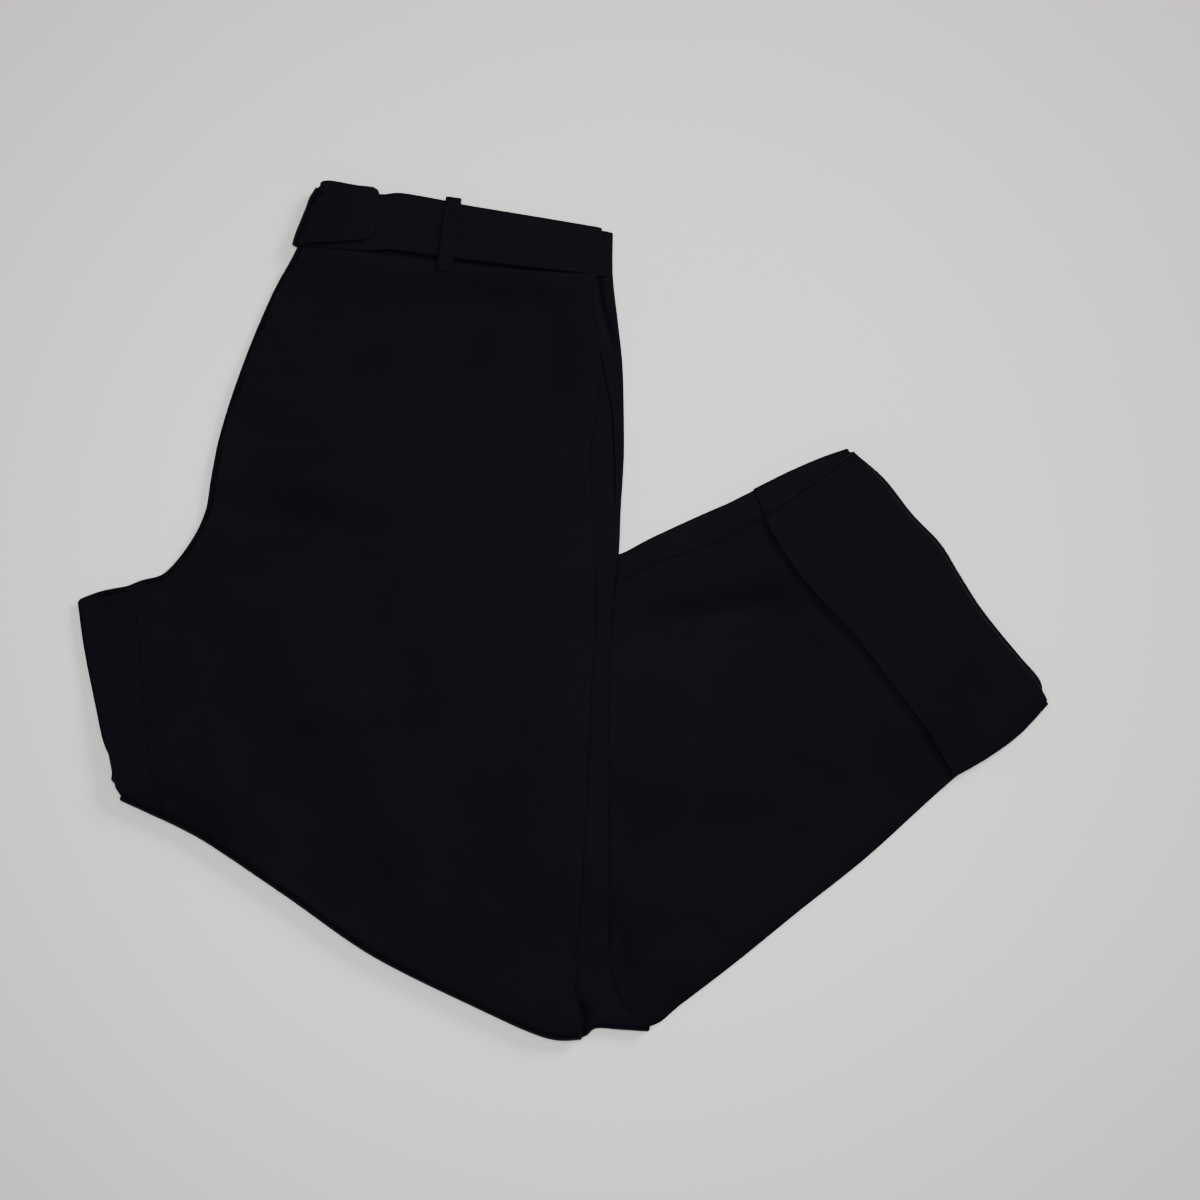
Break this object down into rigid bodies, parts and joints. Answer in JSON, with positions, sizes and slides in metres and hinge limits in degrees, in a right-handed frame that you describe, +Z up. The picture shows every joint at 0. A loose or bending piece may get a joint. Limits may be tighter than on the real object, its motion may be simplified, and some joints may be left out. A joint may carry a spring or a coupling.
{
  "type": "folded straight-leg trousers",
  "caption": "Black straight-leg trousers with deep turn-ups, folded in half and at the knee, lying flat with a tabbed waistband and belt loop.",
  "frame": {"origin": "middle of the bounding box, on the surface that the garment lies on", "axes": "+X across from the crotch towards the hems, +Y from the knee fold towards the waist, +Z up from the surface"},
  "size_m": [0.6464, 0.5704, 0.0128],
  "materials": {
    "trouser_cloth": "fine matt black crepe with a soft sheen"
  },
  "bodies": {
    "root": {"belt_loop": "trouser_cloth", "waistband_tab": "trouser_cloth", "left_waistband": "trouser_cloth", "left_front": "trouser_cloth", "left_back_crotch": "trouser_cloth", "right_waistband": "trouser_cloth", "right_back_strip": "trouser_cloth", "right_cuff": "trouser_cloth", "left_cuff": "trouser_cloth", "right_front_lower": "trouser_cloth", "left_back_lower": "trouser_cloth", "folded_layers": "trouser_cloth"}
  },
  "joints": []
}
